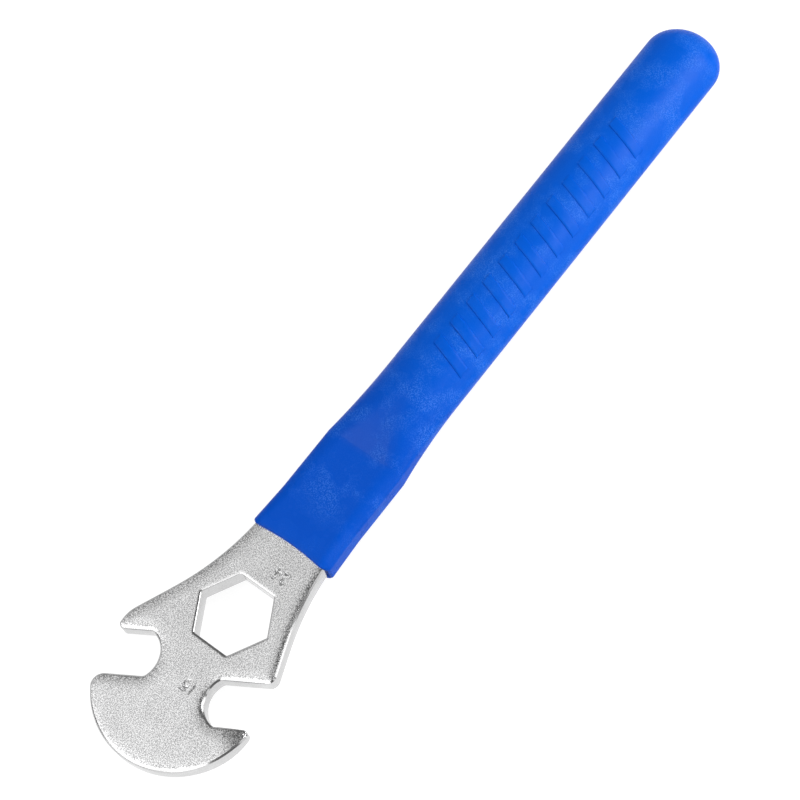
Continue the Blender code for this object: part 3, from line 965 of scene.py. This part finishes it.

# %% [markdown]
# ## Soft blue vinyl
#
# The sleeve is dyed one blue right through; that blue is painted a little deeper on the
# collar than on the barrel, as painted shade. What changes is how finely its surface is
# grained. Pale flecks about a third of a millimetre across lie in slow patches, and fade
# near the mouth. They are painted glints: the sparkle of the grain, put in the colour,
# because a bump alone would average out at this size. The bars are the same vinyl with
# fewer painted glints.

# %% Vinyl finish
GRAIN_AND_GLINT_SIZE, PATCH_SIZE, FLECK_DEPTH = 0.38 * MM, 9 * MM, 0.10 * MM
# Painted shade: the collar's blues are a little darker than the barrel's.
COLLAR_PAINTED_SHADE_BLUES = (0.0003, 0.078, 0.560, 1), (0.0006, 0.090, 0.610, 1)
BARREL_BLUES = (0.0004, 0.098, 0.630, 1), (0.0012, 0.114, 0.680, 1)
# Painted glints: pale blue specks in the colour, for the grain's sparkle.
PAINTED_GLINT_BLUE = (0.06, 0.23, 0.80, 1)
PAST_RAMP = 25 * MM
FEWEST_PAINTED_GLINTS_UNTIL, FULL_PAINTED_GLINTS_FROM, PAINTED_GLINTS_AT_MOUTH = 6 * MM, 24 * MM, 0.15
PAINTED_GLINTS_BETWEEN, BUMP_BETWEEN = 0.12, 0.25


def vinyl_finish(name, most_painted_glints):
    """Blue vinyl with patches of painted glints, this strong where they are thickest."""
    vinyl = new_finish(name)
    spot = vinyl.node("ShaderNodeTexCoord", None, None, "Object")
    grain = vinyl.noise(spot, GRAIN_AND_GLINT_SIZE, detail=1.0)
    patches = vinyl.noise(spot, PATCH_SIZE, detail=3.0)
    rough_and_glinting_patches = vinyl.smooth(patches, 0.42, 0.66)
    along = vinyl.node("ShaderNodeSeparateXYZ", None, {"Vector": spot})
    # Painted shade: the blue is darker on the collar and lightens past the ramp.
    on_barrel = vinyl.smooth(along, HEX.x + COLLAR_END, HEX.x + RAMP_END + PAST_RAMP)
    collar_painted_shade_blue = vinyl.mix(patches, *COLLAR_PAINTED_SHADE_BLUES)
    barrel_blue = vinyl.mix(patches, *BARREL_BLUES)
    blue = vinyl.mix(on_barrel, collar_painted_shade_blue, barrel_blue)
    mouth = HEX.x + MOUTH_FROM_HEX
    away = vinyl.smooth(along, mouth + FEWEST_PAINTED_GLINTS_UNTIL, mouth + FULL_PAINTED_GLINTS_FROM, PAINTED_GLINTS_AT_MOUTH, 1)
    # Pale specks mixed into the colour are painted glints.
    painted_glints = vinyl.smooth(grain, 0.46, 0.62) * (PAINTED_GLINTS_BETWEEN + rough_and_glinting_patches) * away * most_painted_glints
    blue_with_painted_glints = vinyl.mix(painted_glints, blue, PAINTED_GLINT_BLUE)
    bump = vinyl.node("ShaderNodeBump", None, {
        "Strength": 0.7,
        "Distance": FLECK_DEPTH,
        "Height": grain * (BUMP_BETWEEN + rough_and_glinting_patches),
    })
    soft = vinyl.node("ShaderNodeBsdfPrincipled", None, {
        "Base Color": blue_with_painted_glints,
        "Roughness": 0.27 + rough_and_glinting_patches * 0.05,
        "Specular IOR Level": 0.05,
        "Normal": bump,
    })
    vinyl.node("ShaderNodeOutputMaterial", None, {"Surface": soft})
    return vinyl.owner


# The bars get fewer painted glints than the sleeve.
sleeve.data.materials.append(vinyl_finish("blue_vinyl", 0.5))
bars.data.materials.append(vinyl_finish("blue_vinyl_fewer_painted_glints", 0.12))
print("vinyl finish:", len(sleeve.data.materials[0].node_tree.nodes), "nodes")

# %% [markdown]
# ## Highlights for the vinyl alone
#
# Two of the cards are there for the sleeve: one for the long highlight on its crown,
# one for the pale facet of its ramp. On the steel they would cover the dark lines of
# its edges. Light linking lets them reach only the vinyl: a lamp's receiver collection
# names the pieces that it shines on.

# %% Light linking
vinyl_pieces = bpy.data.collections.new("vinyl_pieces")
for piece in (sleeve, bars):
    vinyl_pieces.objects.link(piece)
for only_on_vinyl in (crown_card, ramp_card):
    only_on_vinyl.light_linking.receiver_collection = vinyl_pieces
print("cards on the vinyl only:", crown_card.name, ramp_card.name)

# %% [markdown]
# ## Hand the pieces over
#
# Each piece rides on the model's one body. The two skins stand for the two imported
# solids.

# %% Ride and replace
for piece, slot_name in ((steel, "steel"), (sleeve, "vinyl"), (bars, "vinyl")):
    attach(piece, "root")
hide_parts("forged_wrench")
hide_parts("grip_sleeve")
